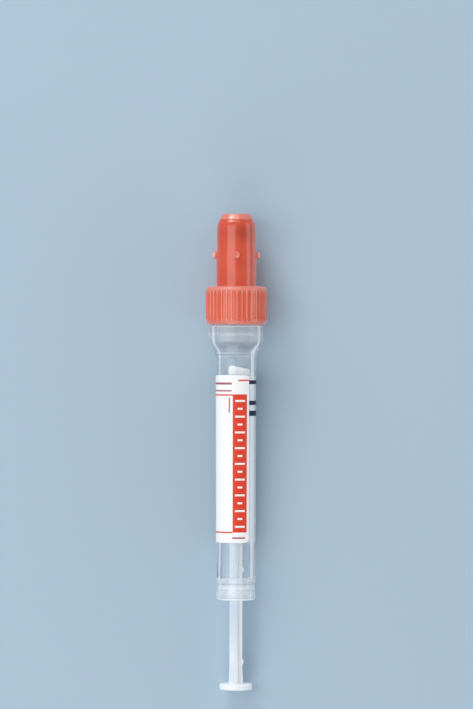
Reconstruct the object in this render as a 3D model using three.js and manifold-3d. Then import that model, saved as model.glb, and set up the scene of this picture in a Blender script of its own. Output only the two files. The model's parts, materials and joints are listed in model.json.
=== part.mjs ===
// A blood collection tube of the syringe type: a clear tube with a screw cap at one end and a piston rod
// at the other. It lies on a table, touching it with the rim of the cap and the edge of the thumb disc.
import * as THREE from "three";
import { mergeVertices } from "three/addons/utils/BufferGeometryUtils.js";
import { ParametricGeometry } from "three/addons/geometries/ParametricGeometry.js";
import Module from "manifold-3d";

const wasm = await Module();
wasm.setup();

// Every size is in millimetres. Round pieces are turned about the tube's axis, which is local +Y.
// Heights along the axis start at the tube's foot, and the cap is at the high end.

// Clear tube
const tubeLength = 65.1;
const boreRadius = 3.1;
const barrelRadiusAtFoot = 4.12;
const barrelRadiusAtShoulder = 4.24;
const neckHeight = 10.8;
const shoulderHeight = 2.6;
const shoulderRounding = 0.7;
const innerShoulderDrop = 0.35;
const collarRadius = 5.67;
const collarGap = 0.2;
const neckInnerRadius = 4.65;
const neckWall = 0.5;
const neckRimChamfer = 0.2;
const lugRadius = 0.6;
const lugProud = 0.14;
const lugBelowCollarTop = 1.84;

// Foot of the tube
const footHeight = 4.78;
const footRadius = 4.14;
const footRounding = 0.6;
const footBeadWidth = 1.1;
const footGrooveDepth = 0.16;
const footGrooveSlope = 0.25;
const throatRadius = 2.55;
const throatRampHeight = 1.1;
const recessRadius = 2.95;
const recessDepth = 1.6;

// Thread between tube and cap
const threadPitch = 3;
const threadTurns = 1.5;
const threadRootWidth = 0.9;
const threadCrestWidth = 0.45;
const threadRunOut = 0.12;
const threadSink = 0.12;
const neckThreadProud = 0.3;
const neckThreadBelowRim = 5.5;
const threadRadialGap = 0.15;
const threadFlankGap = 0.15;

// Screw cap
const capRimGap = 0.2;
const skirtRadius = 6.45;
const skirtHeight = 8.06;
const skirtTopRounding = 0.9;
const skirtChamferWidth = 0.45;
const skirtChamferHeight = 0.6;
const plateThickness = 0.9;
const ribCount = 36;
const ribBottomBand = 1.2;
const ribTopBand = 0.9;
const fluteDepth = 0.26;
const fluteFloorWidth = 0.5;
const fluteTopWidth = 0.74;
const plugLength = 1.8;
const plugWall = 0.8;
const plugGap = 0.08;
const noseHeight = 15.3;
const noseBaseRadius = 4.25;
const noseShoulderRadius = 4.08;
const noseShoulderDrop = 2.7;
const noseRingDrop = 1.25;
const noseRingRadius = 3.72;
const noseGrooveDepth = 0.12;
const noseGrooveWidth = 0.3;
const noseTopRadius = 3;
const noseTopDrop = 0.15;
const noseBoreRadius = 3.15;
const noseMouthRadius = 2;
const noseMouthDepth = 2.2;
const studRadius = 0.7;
const studReach = 4.96;
const studChamfer = 0.22;
const studHeight = 6.6;
const studSink = 0.4;

// Membrane in the nose
const membraneGap = 0.06;
const membraneSeatGap = 0.1;
const membraneThickness = 3;
const membraneRaise = 1.3;
const membraneRaiseGap = 0.15;
const retainerHeight = 0.35;
const retainerReach = 0.25;

// Piston head
const lipGap = 0.05;
const pistonBelowShoulder = 7.1;
const pistonHeight = 2.7;
const lipHeight = 0.6;
const lipSlope = 0.2;
const pistonWaistRadius = 2.7;
const socketRadius = 1.15;
const socketMouthRadius = 0.9;
const socketMouthDepth = 0.6;
const socketDepth = 1.75;

// Piston rod
const snapGap = 0.1;
const rodRestGap = 0.1;
const bladeWidth = 2.7;
const bladeThickness = 0.9;
const bladeRootWidth = 3;
const bladeFlareHeight = 4;
const discOuterFace = -19;
const discThickness = 1.15;
const discRadius = 3.46;
const discRounding = 0.4;
const notchClearOfFoot = 0.3;
const notchWidth = 0.6;
const notchNeck = 1.5;
const nubsAboveDisc = [5.85, 25.4];
const nubReach = 0.28;
const nubLength = 1.3;
const nubTopLength = 0.52;

// Dry additive on the piston
const additiveGap = 0.1;
const additiveHeight = 2.2;
const additiveDrop = 1;
const additiveRounding = 0.6;
const additiveLeft = 1.75;
const additiveWallGap = 0.08;

// Paper label
const labelBelowShoulder = 4.2;
const labelHeight = 35.3;
const labelThickness = 0.08;
const labelGap = 0.02;
const labelWindowStartAngle = 38.9;
const labelWindowEndAngle = 110;
const labelCornerRadius = 0.9;

// Facets round the axis
const tubeFacets = 48;
const capFacets = 72;
const discFacets = 36;
const smallFacets = 24;
const threadStepsPerTurn = 24;
const quarterSteps = 4;

// Places that follow from the sizes
const shoulderStart = tubeLength - neckHeight - shoulderHeight;
const neckThreadStart = tubeLength - neckThreadBelowRim;
const labelStart = shoulderStart - labelBelowShoulder - labelHeight;
const pistonRest = shoulderStart - pistonBelowShoulder;
const neckRootRadius = neckInnerRadius + neckWall;
const neckThreadCrest = neckRootRadius + neckThreadProud;
const skirtBoreRadius = neckThreadCrest + threadRadialGap;
const capThreadCrest = neckRootRadius + threadRadialGap;
const capSeat = tubeLength + capRimGap;
const skirtTop = plateThickness;
const skirtBottom = skirtTop - skirtHeight;
const noseTop = skirtTop + noseHeight;
const collarTop = capSeat + skirtBottom - collarGap;
const capThreadStart = neckThreadStart - capSeat - threadRootWidth - threadFlankGap;
const mouthBottom = noseTop - noseMouthDepth;
const membraneBottom = mouthBottom - membraneSeatGap - membraneThickness;
const retainerTop = membraneBottom - membraneSeatGap;
const membraneRadius = noseBoreRadius - membraneGap;
const lipRadius = boreRadius - lipGap;
const rodTop = -rodRestGap;
const discTop = discOuterFace + discThickness - pistonRest;

const halfTurn = Math.PI;
const degree = Math.PI / 180;

// A point of a turned profile: radius first, then height along the axis.
const at = (radius, height) => new THREE.Vector2(radius, height);

// Points of a quarter round between two profile points, bulging towards the corner between them.
function quarterRound(from, corner, to) {
  const curve = new THREE.QuadraticBezierCurve(from, corner, to);
  return curve.getPoints(quarterSteps);
}

// A closed profile turned about the axis. The facets start half a facet round, so that one faces straight down.
function turned(profile, facets) {
  const closed = [...profile, profile[0]];
  return new THREE.LatheGeometry(closed, facets, halfTurn / facets, 2 * halfTurn);
}

// A closed geometry as a solid that can be joined and cut.
function solidOf(geometry) {
  const bare = geometry.clone();
  bare.deleteAttribute("normal");
  bare.deleteAttribute("uv");
  const merged = mergeVertices(bare);
  const corners = merged.index.array;
  const triVerts = [];
  for (let i = 0; i < corners.length; i += 3) {
    const [a, b, c] = corners.subarray(i, i + 3);
    if (a !== b && b !== c && c !== a) triVerts.push(a, b, c);
  }
  const vertProperties = merged.attributes.position.array;
  const mesh = new wasm.Mesh({ numProp: 3, vertProperties, triVerts: new Uint32Array(triVerts) });
  return new wasm.Manifold(mesh);
}

// The solid as a flat-shaded geometry.
function geometryOf(solid) {
  const mesh = solid.getMesh();
  const shared = new THREE.BufferGeometry();
  shared.setAttribute("position", new THREE.BufferAttribute(mesh.vertProperties, 3));
  shared.setIndex(new THREE.BufferAttribute(mesh.triVerts, 1));
  const geometry = shared.toNonIndexed();
  geometry.computeVertexNormals();
  return geometry;
}

// A right-hand thread ridge that fades into its wall at both ends. It points outwards where the crest is
// outside the root, and inwards where it is inside.
function threadRidge(rootRadius, crestRadius, start) {
  const outward = Math.sign(crestRadius - rootRadius);
  const sunkRadius = rootRadius - outward * threadSink;
  const corners = [
    [sunkRadius, threadRootWidth],
    [crestRadius, threadCrestWidth],
    [crestRadius, -threadCrestWidth],
    [sunkRadius, -threadRootWidth],
  ];
  const place = (u, v, target) => {
    const [radius, width] = corners[Math.round(u * corners.length) % corners.length];
    const turnsFromEnd = Math.min(v, 1 - v) * threadTurns;
    const fade = Math.min(1, Math.max(0, turnsFromEnd / threadRunOut));
    const angle = v * threadTurns * 2 * halfTurn;
    const height = start + threadRootWidth / 2 + v * threadTurns * threadPitch;
    const r = sunkRadius + (radius - sunkRadius) * fade;
    target.set(r * Math.sin(angle), height + (outward * fade * width) / 2, r * Math.cos(angle));
  };
  return new ParametricGeometry(place, corners.length, threadTurns * threadStepsPerTurn);
}

function footProfile() {
  const grooveRadius = footRadius - footGrooveDepth;
  const upperBead = footHeight - footBeadWidth;
  return [
    at(recessRadius, 0),
    ...quarterRound(at(footRadius - footRounding, 0), at(footRadius, 0), at(footRadius, footRounding)),
    at(footRadius, footRounding + footBeadWidth),
    at(grooveRadius, footRounding + footBeadWidth + footGrooveSlope),
    at(grooveRadius, upperBead - footGrooveSlope),
    at(footRadius, upperBead),
    at(footRadius, footHeight - footGrooveSlope),
    at(barrelRadiusAtFoot, footHeight),
  ];
}

function boreProfile() {
  const coneTop = shoulderStart + shoulderHeight - innerShoulderDrop;
  const coneBottom = shoulderStart - innerShoulderDrop;
  return [
    at(neckInnerRadius, tubeLength),
    at(neckInnerRadius, coneTop),
    at(boreRadius, coneBottom),
    at(boreRadius, footHeight),
    at(throatRadius, footHeight - throatRampHeight),
    at(throatRadius, recessDepth),
    at(recessRadius, recessDepth),
  ];
}

function shoulderProfile() {
  const top = shoulderStart + shoulderHeight;
  const slope = (collarRadius - barrelRadiusAtShoulder) / shoulderHeight;
  const shift = shoulderRounding * slope;
  return [
    ...quarterRound(
      at(barrelRadiusAtShoulder, shoulderStart - shoulderRounding),
      at(barrelRadiusAtShoulder, shoulderStart),
      at(barrelRadiusAtShoulder + shift, shoulderStart + shoulderRounding),
    ),
    ...quarterRound(
      at(collarRadius - shift, top - shoulderRounding),
      at(collarRadius, top),
      at(collarRadius, top + shoulderRounding),
    ),
  ];
}

function neckProfile() {
  return [
    at(collarRadius, collarTop),
    at(neckRootRadius, collarTop),
    at(neckRootRadius, tubeLength - neckRimChamfer),
    at(neckRootRadius - neckRimChamfer, tubeLength),
  ];
}

// A small round lug on the side of the collar.
function collarLug() {
  const length = neckWall + lugProud;
  const lug = new THREE.CylinderGeometry(lugRadius, lugRadius, length, smallFacets);
  lug.rotateZ(halfTurn / 2);
  lug.translate(-(collarRadius + lugProud - length / 2), collarTop - lugBelowCollarTop, 0);
  return lug;
}

function tubeGeometry() {
  const profile = [...footProfile(), ...shoulderProfile(), ...neckProfile(), ...boreProfile()];
  const thread = threadRidge(neckRootRadius, neckThreadCrest, neckThreadStart);
  return geometryOf(
    solidOf(turned(profile, tubeFacets)).add(solidOf(thread)).add(solidOf(collarLug())),
  );
}

// The cap's own height 0 is the underside of its plate, just above the tube's rim.
function capProfile() {
  const plugRadius = neckInnerRadius - plugGap;
  const shoulderTop = noseTop - noseShoulderDrop;
  const ringTop = noseTop - noseRingDrop;
  return [
    at(skirtBoreRadius, skirtBottom),
    at(skirtRadius - skirtChamferWidth, skirtBottom),
    at(skirtRadius, skirtBottom + skirtChamferHeight),
    ...quarterRound(
      at(skirtRadius, skirtTop - skirtTopRounding),
      at(skirtRadius, skirtTop),
      at(skirtRadius - skirtTopRounding, skirtTop),
    ),
    at(noseBaseRadius, skirtTop),
    ...quarterRound(
      at(noseShoulderRadius, shoulderTop),
      at(noseShoulderRadius, ringTop - noseGrooveWidth),
      at(noseRingRadius, ringTop - noseGrooveWidth),
    ),
    at(noseRingRadius - noseGrooveDepth, ringTop - noseGrooveWidth / 2),
    at(noseRingRadius, ringTop),
    at(noseTopRadius, noseTop - noseTopDrop),
    at(noseTopRadius - noseTopDrop, noseTop),
    at(noseMouthRadius, noseTop),
    at(noseMouthRadius, mouthBottom),
    at(noseBoreRadius, mouthBottom),
    at(noseBoreRadius, retainerTop),
    at(noseBoreRadius - retainerReach, retainerTop),
    at(noseBoreRadius, retainerTop - retainerHeight),
    at(noseBoreRadius, 0),
    at(plugRadius - plugWall, 0),
    at(plugRadius - plugWall, -plugLength),
    at(plugRadius, -plugLength),
    at(plugRadius, 0),
    at(skirtBoreRadius, 0),
  ];
}

// One groove between two ribs of the skirt, as the wedge that cuts it.
function fluteCutter(turn) {
  const floor = skirtRadius - fluteDepth;
  const outside = skirtRadius + fluteDepth;
  const spread = fluteTopWidth - fluteFloorWidth / 2;
  const outline = new THREE.Shape([
    at(-fluteFloorWidth / 2, floor),
    at(fluteFloorWidth / 2, floor),
    at(spread, outside),
    at(-spread, outside),
  ]);
  const length = skirtHeight - ribBottomBand - ribTopBand;
  const cutter = new THREE.ExtrudeGeometry(outline, { depth: length, bevelEnabled: false });
  cutter.rotateX(-halfTurn / 2);
  cutter.translate(0, skirtBottom + ribBottomBand, 0);
  cutter.rotateY(turn);
  return cutter;
}

// A round stud that stands out from the nose.
function studGeometry(turn) {
  const inner = noseShoulderRadius - studSink;
  const stud = turned(
    [
      at(0, inner),
      at(studRadius, inner),
      at(studRadius, studReach - studChamfer),
      at(studRadius - studChamfer, studReach),
      at(0, studReach),
    ],
    smallFacets,
  );
  stud.rotateX(halfTurn / 2);
  stud.rotateY(turn);
  stud.translate(0, skirtTop + studHeight, 0);
  return stud;
}

function capGeometry() {
  let cap = solidOf(turned(capProfile(), capFacets));
  cap = cap.add(solidOf(threadRidge(skirtBoreRadius, capThreadCrest, capThreadStart)));
  for (let rib = 0; rib < ribCount; rib += 1) {
    cap = cap.subtract(solidOf(fluteCutter(((rib + 0.5) * 2 * halfTurn) / ribCount)));
  }
  for (let quarter = 0; quarter < 4; quarter += 1) {
    cap = cap.add(solidOf(studGeometry((quarter * halfTurn) / 2)));
  }
  return geometryOf(cap);
}

function membraneGeometry() {
  const raisedRadius = noseMouthRadius - membraneRaiseGap;
  return turned(
    [
      at(0, 0),
      at(membraneRadius, 0),
      at(membraneRadius, membraneThickness),
      at(raisedRadius, membraneThickness),
      at(raisedRadius, membraneThickness + membraneRaise),
      at(0, membraneThickness + membraneRaise),
    ],
    tubeFacets,
  );
}

// The piston head's own height 0 is its rear face, towards the foot of the tube.
function pistonGeometry() {
  return turned(
    [
      at(socketMouthRadius, 0),
      at(lipRadius, 0),
      at(lipRadius, lipHeight),
      at(pistonWaistRadius, lipHeight + lipSlope),
      at(pistonWaistRadius, pistonHeight - lipHeight - lipSlope),
      at(lipRadius, pistonHeight - lipHeight),
      at(lipRadius, pistonHeight),
      at(0, pistonHeight),
      at(0, socketDepth),
      at(socketRadius, socketDepth),
      at(socketRadius, socketMouthDepth),
      at(socketMouthRadius, socketMouthDepth),
    ],
    tubeFacets,
  );
}

// One blade of the rod's cross, with its flare at the disc, its notch and, on one edge, its nubs.
function bladeGeometry(nubs) {
  const half = bladeWidth / 2;
  const neck = notchNeck / 2;
  const notchAt = -footHeight - notchClearOfFoot;
  const edge = [
    at(bladeRootWidth / 2, discTop - discThickness / 2),
    at(bladeRootWidth / 2, discTop),
    at(half, discTop + bladeFlareHeight),
  ];
  const nubEdge = nubs.flatMap((height) => [
    at(half, height - nubLength / 2),
    at(half + nubReach, height - nubTopLength / 2),
    at(half + nubReach, height + nubTopLength / 2),
    at(half, height + nubLength / 2),
  ]);
  const end = [
    at(half, notchAt - notchWidth / 2),
    at(neck, notchAt),
    at(half, notchAt + notchWidth / 2),
    at(half, rodTop),
  ];
  const plainSide = [...edge, ...end].map((point) => at(-point.x, point.y)).reverse();
  const outline = new THREE.Shape([...edge, ...nubEdge, ...end, ...plainSide]);
  const blade = new THREE.ExtrudeGeometry(outline, { depth: bladeThickness, bevelEnabled: false });
  blade.translate(0, 0, -bladeThickness / 2);
  return blade;
}

function discGeometry() {
  const bottom = discTop - discThickness;
  return turned(
    [
      at(0, bottom),
      ...quarterRound(
        at(discRadius - discRounding, bottom),
        at(discRadius, bottom),
        at(discRadius, bottom + discRounding),
      ),
      ...quarterRound(
        at(discRadius, discTop - discRounding),
        at(discRadius, discTop),
        at(discRadius - discRounding, discTop),
      ),
      at(0, discTop),
    ],
    discFacets,
  );
}

// The barb at the rod's front end that snaps into the piston head.
function snapGeometry() {
  const stemRadius = socketMouthRadius - snapGap;
  const barbRadius = socketRadius - snapGap;
  const barbStart = socketMouthDepth + snapGap;
  const barbEnd = socketDepth - snapGap;
  return turned(
    [
      at(0, rodTop - notchWidth),
      at(stemRadius, rodTop - notchWidth),
      at(stemRadius, barbStart),
      at(barbRadius, barbStart),
      at(barbRadius, (barbStart + barbEnd) / 2),
      at(stemRadius, barbEnd),
      at(0, barbEnd),
    ],
    smallFacets,
  );
}

// The rod's own height 0 is the piston head's rear face.
function rodGeometry() {
  const nubs = nubsAboveDisc.map((height) => discTop - discThickness + height);
  const crossBlade = bladeGeometry([]);
  crossBlade.rotateY(halfTurn / 2);
  return geometryOf(
    solidOf(bladeGeometry(nubs))
      .add(solidOf(crossBlade))
      .add(solidOf(discGeometry()))
      .add(solidOf(snapGeometry())),
  );
}

// The additive lies on the piston to one side, with a sloping top, and is as round as the bore.
function additiveGeometry() {
  const outline = new THREE.Shape([
    at(-additiveLeft, 0),
    at(boreRadius, 0),
    at(boreRadius, additiveHeight - additiveDrop),
    ...quarterRound(
      at(additiveRounding - additiveLeft, additiveHeight),
      at(-additiveLeft, additiveHeight),
      at(-additiveLeft, additiveHeight - additiveRounding),
    ),
  ]);
  const slab = new THREE.ExtrudeGeometry(outline, { depth: 2 * boreRadius, bevelEnabled: false });
  slab.translate(0, 0, -boreRadius);
  const radius = boreRadius - additiveWallGap;
  const bore = new THREE.CylinderGeometry(radius, radius, 3 * additiveHeight, tubeFacets);
  bore.rotateY(halfTurn / tubeFacets);
  return geometryOf(solidOf(slab).intersect(solidOf(bore)));
}

// The barrel's radius at a height between foot and shoulder, where it tapers a little.
function barrelRadius(height) {
  const share = (height - footHeight) / (shoulderStart - footHeight);
  return barrelRadiusAtFoot + (barrelRadiusAtShoulder - barrelRadiusAtFoot) * share;
}

// The clear window between the label's two edges, as the block that cuts it, with its rounded corners.
function labelWindow() {
  const middle = ((labelWindowStartAngle + labelWindowEndAngle) / 2) * degree;
  const halfAngle = ((labelWindowEndAngle - labelWindowStartAngle) / 2) * degree;
  const half = barrelRadius(labelStart) * Math.sin(halfAngle);
  const corner = labelCornerRadius;
  const over = labelThickness;
  const rightEdge = [
    at(half + corner, -over),
    at(half + corner, 0),
    ...quarterRound(at(half + corner, 0), at(half, 0), at(half, corner)).slice(1),
    ...quarterRound(
      at(half, labelHeight - corner),
      at(half, labelHeight),
      at(half + corner, labelHeight),
    ),
    at(half + corner, labelHeight + over),
  ];
  const leftEdge = rightEdge.map((point) => at(-point.x, point.y)).reverse();
  const outline = new THREE.Shape([...rightEdge, ...leftEdge]);
  const block = new THREE.ExtrudeGeometry(outline, { depth: 2 * collarRadius, bevelEnabled: false });
  block.rotateY(middle);
  return block;
}

function labelGeometry() {
  const low = barrelRadius(labelStart) + labelGap;
  const high = barrelRadius(labelStart + labelHeight) + labelGap;
  const sleeve = turned(
    [
      at(low, 0),
      at(low + labelThickness, 0),
      at(high + labelThickness, labelHeight),
      at(high, labelHeight),
    ],
    tubeFacets,
  );
  return geometryOf(solidOf(sleeve).subtract(solidOf(labelWindow())));
}

// A named mesh at a height along the axis.
function piece(name, geometry, height, colour, roughness, look = {}) {
  const material = new THREE.MeshStandardMaterial({ color: colour, roughness, metalness: 0, ...look });
  const mesh = new THREE.Mesh(geometry, material);
  mesh.name = name;
  mesh.position.y = height;
  return mesh;
}

function capGroup() {
  const cap = new THREE.Group();
  cap.position.y = capSeat;
  cap.add(
    piece("screw_cap", capGeometry(), 0, 0xe0654a, 0.35),
    piece("membrane", membraneGeometry(), membraneBottom, 0x8c8f92, 0.6),
  );
  return cap;
}

function plungerGroup() {
  const plunger = new THREE.Group();
  plunger.position.y = pistonRest;
  plunger.add(
    piece("piston_head", pistonGeometry(), 0, 0xe8ecef, 0.4),
    piece("piston_rod", rodGeometry(), 0, 0xe8ecef, 0.4),
    piece("additive_plug", additiveGeometry(), pistonHeight + additiveGap, 0xf2f3f2, 0.9),
  );
  return plunger;
}

function tubeGroup() {
  const tube = new THREE.Group();
  tube.add(
    piece("tube_barrel", tubeGeometry(), 0, 0xdfe8ee, 0.08, { transparent: true, opacity: 0.35 }),
    piece("label", labelGeometry(), labelStart, 0xfafaf7, 0.7),
  );
  return tube;
}

// The whole tube lies on the rim of its cap and the edge of its disc, so its axis rises a little to the cap.
function lyingTube() {
  const rimReach = skirtRadius * Math.cos(halfTurn / capFacets);
  const discReach = discRadius * Math.cos(halfTurn / discFacets);
  const rimHeight = capSeat + skirtBottom + skirtChamferHeight;
  const discHeight = discOuterFace + discRounding;
  const lying = new THREE.Group();
  lying.add(tubeGroup(), capGroup(), plungerGroup());
  lying.rotation.x = Math.atan2(rimReach - discReach, rimHeight - discHeight);
  const box = new THREE.Box3().setFromObject(lying, true);
  lying.position.set(0, -(box.min.y + box.max.y) / 2, -box.min.z);
  return lying;
}

const bloodCollectionTube = new THREE.Group();
bloodCollectionTube.name = "blood_collection_tube";
bloodCollectionTube.add(lyingTube());

export default bloodCollectionTube;
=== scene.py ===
import json
import math

import bmesh
import bpy
from mathutils import Matrix, Vector


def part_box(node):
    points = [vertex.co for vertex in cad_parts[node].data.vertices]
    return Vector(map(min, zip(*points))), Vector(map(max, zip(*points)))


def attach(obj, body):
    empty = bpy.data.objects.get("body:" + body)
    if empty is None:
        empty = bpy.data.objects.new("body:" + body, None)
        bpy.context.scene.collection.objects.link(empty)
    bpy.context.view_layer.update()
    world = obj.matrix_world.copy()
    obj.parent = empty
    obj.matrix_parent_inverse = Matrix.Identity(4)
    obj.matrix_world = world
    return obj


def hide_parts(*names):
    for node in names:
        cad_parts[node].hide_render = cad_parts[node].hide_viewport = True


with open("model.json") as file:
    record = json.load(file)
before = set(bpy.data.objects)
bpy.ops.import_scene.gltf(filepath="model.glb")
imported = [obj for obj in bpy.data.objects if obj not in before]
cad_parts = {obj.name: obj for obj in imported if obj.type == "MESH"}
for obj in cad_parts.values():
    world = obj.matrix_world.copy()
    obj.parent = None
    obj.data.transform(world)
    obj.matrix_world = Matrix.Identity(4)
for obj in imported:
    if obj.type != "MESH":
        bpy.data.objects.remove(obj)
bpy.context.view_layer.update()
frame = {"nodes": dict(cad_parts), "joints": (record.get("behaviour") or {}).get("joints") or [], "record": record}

mm = 0.001  # every size below is in millimetres

# The tube's axis. Heights run along it from the tube's foot, and the cap is at the high end.
mounts = {mount["name"]: mount for mount in frame["record"]["mounts"]}
joints = {joint["name"]: joint for joint in frame["joints"]}
axis = Vector(joints["cap_turn"]["axis"])
foot = Vector((0, *mounts["foot_face"]["pos_m"][1:]))
tilt = math.atan2(axis.z, axis.y)


def heightOf(point):
    return (Vector(point) - foot).dot(axis) / mm


def spanOf(node):
    heights = [heightOf(vertex.co) for vertex in frame["nodes"][node].data.vertices]
    return min(heights), max(heights)


def halfWidthOf(node):
    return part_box(node)[1].x / mm


tubeTop = spanOf("tube_barrel")[1]
skirtBottom, noseTop = spanOf("screw_cap")
plateBottom = heightOf(joints["cap_turn"]["pos_m"])
pistonBottom, pistonTop = spanOf("piston_head")
discBottom = spanOf("piston_rod")[0]
labelBottom, labelTop = spanOf("label")
membraneBottom, membraneTop = spanOf("membrane")
additiveBottom, additiveTop = spanOf("additive_plug")


# Modelling. Each piece is built upright over the foot's centre, with its front to -Y, and is then laid down.
modelling = {
    "near": 0.01,  # a corner or a face this close to a place is at it
    "squarely": 0.9,  # a face turned this nearly to a side faces it
    "weld": 0.001, "cornerSteps": 5, "smoothUpTo": 30,
}


def isNear(value, other):
    return abs(value - other) < modelling["near"]


def deselectAll():
    if bpy.context.object and bpy.context.object.mode == "EDIT":
        bpy.ops.object.mode_set(mode="OBJECT")
    bpy.ops.object.select_all(action="DESELECT")


def choose(piece):
    deselectAll()
    piece.select_set(True)
    bpy.context.view_layer.objects.active = piece
    return piece


def edit(piece):
    choose(piece)
    bpy.ops.object.mode_set(mode="EDIT")
    bpy.ops.mesh.select_mode(type="VERT")
    bpy.ops.mesh.select_all(action="SELECT")


def settle(piece):  # puts the object's own place and turn into its mesh
    choose(piece)
    bpy.ops.object.transform_apply(location=True, rotation=True, scale=True)


def primitive(name, kind, **settings):
    deselectAll()
    getattr(bpy.ops.mesh, "primitive_" + kind + "_add")(**settings)
    piece = bpy.context.object
    piece.name = name
    piece.data.name = name
    edit(piece)
    return piece


def pick(test, kind="VERT"):  # selects what the test is true for, by its place in millimetres and its normal
    mesh = bmesh.from_edit_mesh(bpy.context.object.data)
    bpy.ops.mesh.select_mode(type=kind)
    bpy.ops.mesh.select_all(action="DESELECT")
    for item in mesh.verts if kind == "VERT" else mesh.faces:
        place = item.co if kind == "VERT" else item.calc_center_median()
        if test(place / mm, item.normal):
            item.select_set(True)
    mesh.select_flush_mode()
    bmesh.update_edit_mesh(bpy.context.object.data)


def move(x=0, y=0, z=0):
    bpy.ops.transform.translate(value=(x * mm, y * mm, z * mm))


def scaleFromAxis(x=1, y=1):
    bpy.ops.transform.resize(value=(x, y, 1), center_override=(0, 0, 0))


def extrude(x=0, y=0, z=0):
    bpy.ops.mesh.extrude_region_move(TRANSFORM_OT_translate={"value": (x * mm, y * mm, z * mm)})


def cut(point, normal, **clear):
    bpy.ops.mesh.select_all(action="SELECT")
    bpy.ops.mesh.bisect(plane_co=[value * mm for value in point], plane_no=normal, **clear)


def weld():
    bpy.ops.mesh.select_all(action="SELECT")
    bpy.ops.mesh.remove_doubles(threshold=modelling["weld"] * mm)


def modify(piece, kind, **settings):
    choose(piece)
    modifier = piece.modifiers.new("shape", kind)
    for name, value in settings.items():
        setattr(modifier, name, value)
    bpy.ops.object.modifier_apply(modifier=modifier.name)


def join(piece, other):
    modify(piece, "BOOLEAN", operation="UNION", object=other, solver="EXACT")
    bpy.data.objects.remove(other)


def rounded(outline):  # a corner's third number is how far its rounding reaches
    points = []
    for index, (radius, height, *reach) in enumerate(outline):
        corner = Vector((radius, height))
        if not reach:
            points.append(corner)
            continue
        before = Vector(outline[index - 1][:2])
        after = Vector(outline[(index + 1) % len(outline)][:2])
        start = corner + (before - corner).normalized() * reach[0]
        end = corner + (after - corner).normalized() * reach[0]
        for step in range(modelling["cornerSteps"] + 1):
            share = step / modelling["cornerSteps"]
            points.append(start.lerp(corner, share).lerp(corner.lerp(end, share), share))
    return points


def turned(name, outline, steps, closed=True):  # draws half of the section and spins it round the axis
    points = rounded(outline)
    if closed:
        points.append(points[0])
    piece = primitive(name, "plane", size=mm)
    bpy.ops.mesh.merge(type="CENTER")
    move(y=-points[0].x, z=points[0].y)
    for here, there in zip(points, points[1:]):
        extrude(y=here.x - there.x, z=there.y - here.y)
    weld()
    bpy.ops.mesh.spin(steps=steps, angle=math.tau, center=(0, 0, 0), axis=(0, 0, 1))
    weld()
    bpy.ops.mesh.normals_make_consistent(inside=False)
    return piece


threadShape = {"pitch": 3, "turns": 1.5, "rootWidth": 0.9, "crestWidth": 0.45, "sink": 0.12, "steps": 96}


def threadRidge(name, root, crest, bottom):  # a right-hand ridge on a wall, which runs out at both ends
    shape = threadShape
    sunk = root - math.copysign(shape["sink"], crest - root)
    ridge = primitive(name, "plane", size=mm, rotation=(0, math.pi / 2, 0), location=(0, 0, 0))
    bpy.ops.transform.resize(value=(1, abs(crest - sunk), shape["rootWidth"]))
    move(y=-(crest + sunk) / 2, z=bottom + shape["rootWidth"] / 2)
    settle(ridge)
    edit(ridge)
    pick(lambda place, _: isNear(place.y, -crest))
    bpy.ops.transform.resize(value=(1, 1, shape["crestWidth"] / shape["rootWidth"]))
    bpy.ops.mesh.select_all(action="SELECT")
    bpy.ops.mesh.delete(type="ONLY_FACE")
    modify(
        ridge, "SCREW", angle=math.tau * shape["turns"], screw_offset=shape["pitch"] * shape["turns"] * mm,
        steps=shape["steps"], render_steps=shape["steps"],
    )
    edit(ridge)
    bpy.ops.mesh.select_all(action="DESELECT")
    bpy.ops.mesh.select_non_manifold()
    scaleFromAxis(sunk / crest, sunk / crest)
    bpy.ops.mesh.select_all(action="SELECT")
    bpy.ops.mesh.fill_holes(sides=4)
    bpy.ops.mesh.normals_make_consistent(inside=False)
    return ridge


def finish(piece, look, body, slot, *nodes):
    choose(piece)
    bpy.ops.object.shade_smooth_by_angle(angle=math.radians(modelling["smoothUpTo"]))
    piece.rotation_euler.x = tilt - math.pi / 2
    piece.location = foot
    settle(piece)
    piece.data.materials.clear()
    piece.data.materials.append(look)
    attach(piece, body)
    if nodes:
        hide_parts(*nodes)
    print("made", piece.name, len(piece.data.polygons), "faces")


tubeShape = {
    "bore": 3.1, "atFoot": 4.12, "atShoulder": 4.24, "collar": 5.67, "collarTop": 0.2, "neckHeight": 10.8,
    "shoulderHeight": 2.6, "innerDrop": 0.35, "neckInner": 4.65, "neckWall": 0.5,
    "footHeight": 4.78, "foot": 4.1, "bead": 1.1, "groove": 0.16, "slope": 0.25,
    "throat": 2.55, "throatRamp": 1.1, "recess": 2.95, "recessDepth": 1.6,
    "footRounding": 0.6, "beadEdge": 0.1, "bend": 0.9, "innerBend": 0.8, "collarEdge": 0.12,
    "neckFoot": 0.08, "rimEdge": 0.15, "boreEnd": 0.3, "recessEdge": 0.15, "recessMouth": 0.12,
    "threadProud": 0.3, "threadBelowRim": 5.5, "steps": 180,
    "lugRadius": 0.6, "lugProud": 0.14, "lugDrop": 1.84, "lugEdge": 0.06, "lugSteps": 48,
}
neckRoot = tubeShape["neckInner"] + tubeShape["neckWall"]
neckThread = tubeTop - tubeShape["threadBelowRim"]
shoulderBottom = tubeTop - tubeShape["neckHeight"] - tubeShape["shoulderHeight"]


def barrelRadius(height):  # the barrel tapers a little
    share = (height - tubeShape["footHeight"]) / (shoulderBottom - tubeShape["footHeight"])
    return tubeShape["atFoot"] + (tubeShape["atShoulder"] - tubeShape["atFoot"]) * share


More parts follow.
